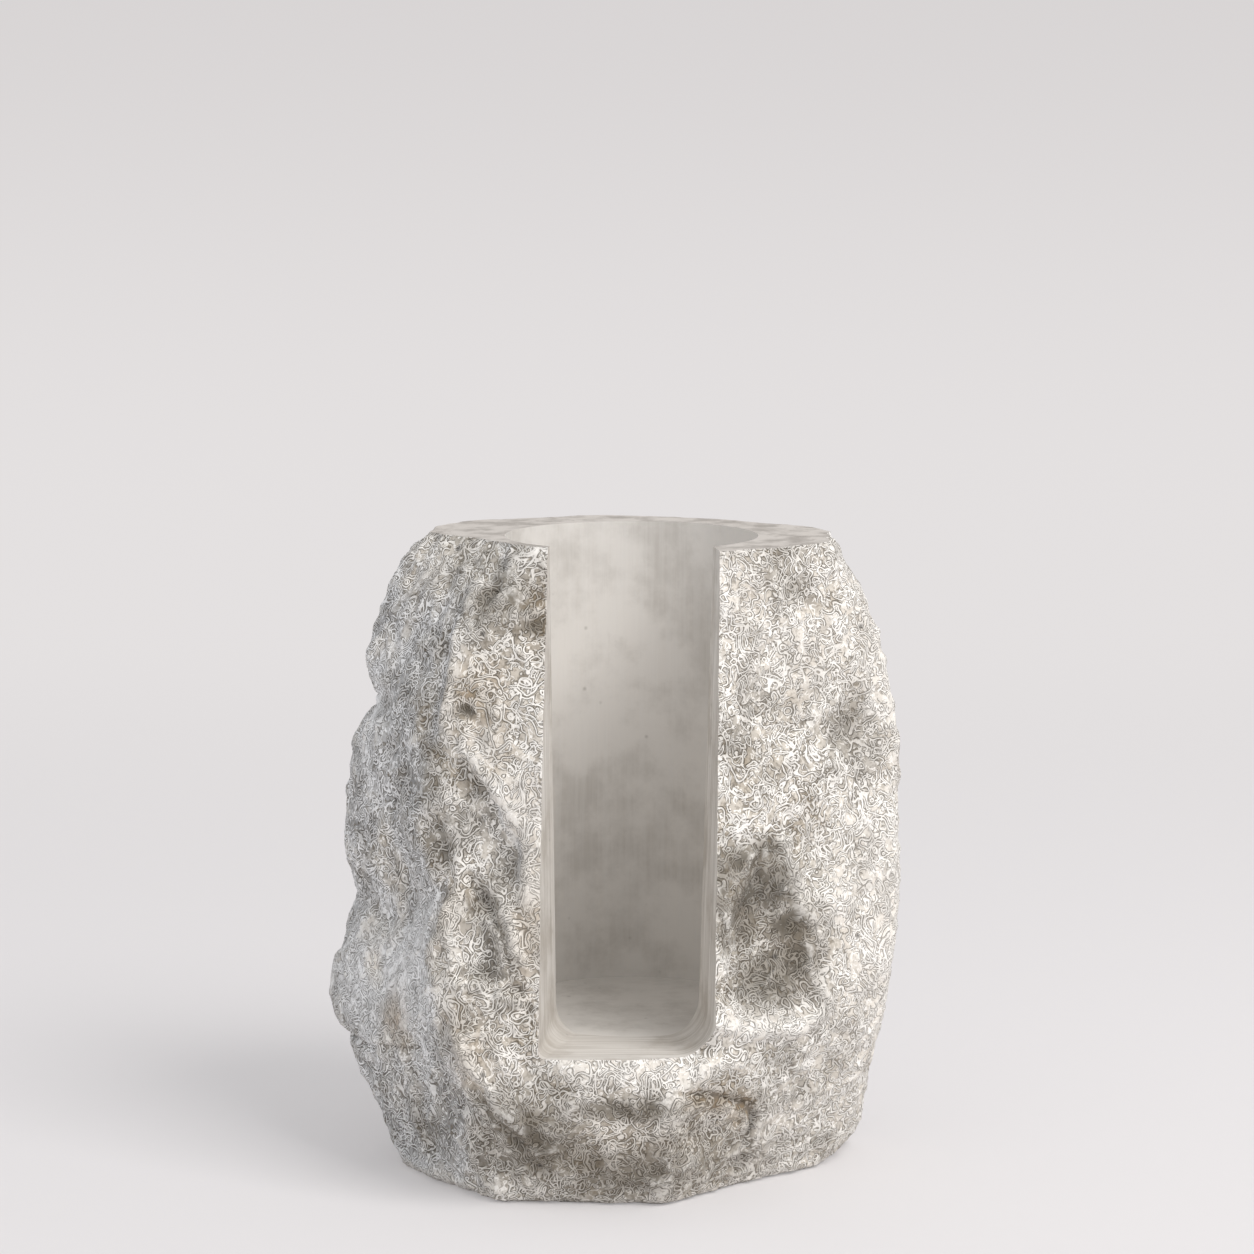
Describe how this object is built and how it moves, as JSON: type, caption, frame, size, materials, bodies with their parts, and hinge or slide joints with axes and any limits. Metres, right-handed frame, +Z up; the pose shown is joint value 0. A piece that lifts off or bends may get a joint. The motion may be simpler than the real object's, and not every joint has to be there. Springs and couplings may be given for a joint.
{
  "type": "wine bottle holder",
  "caption": "Rough-hewn stone block with sawn top and base, a cored bore that holds one wine bottle upright and a tall window cut in its front.",
  "frame": {"origin": "centre of the sawn base, on the axis of the bottle bore", "axes": "+Z up along the bore, -Y towards the window at the front, +X to the right as the window is looked at"},
  "size_m": [0.183, 0.151, 0.203],
  "materials": {
    "pale_stone": "rough split faces, sawn top and base, cored bore"
  },
  "bodies": {
    "root": {"stone_block": "pale_stone"}
  },
  "joints": []
}
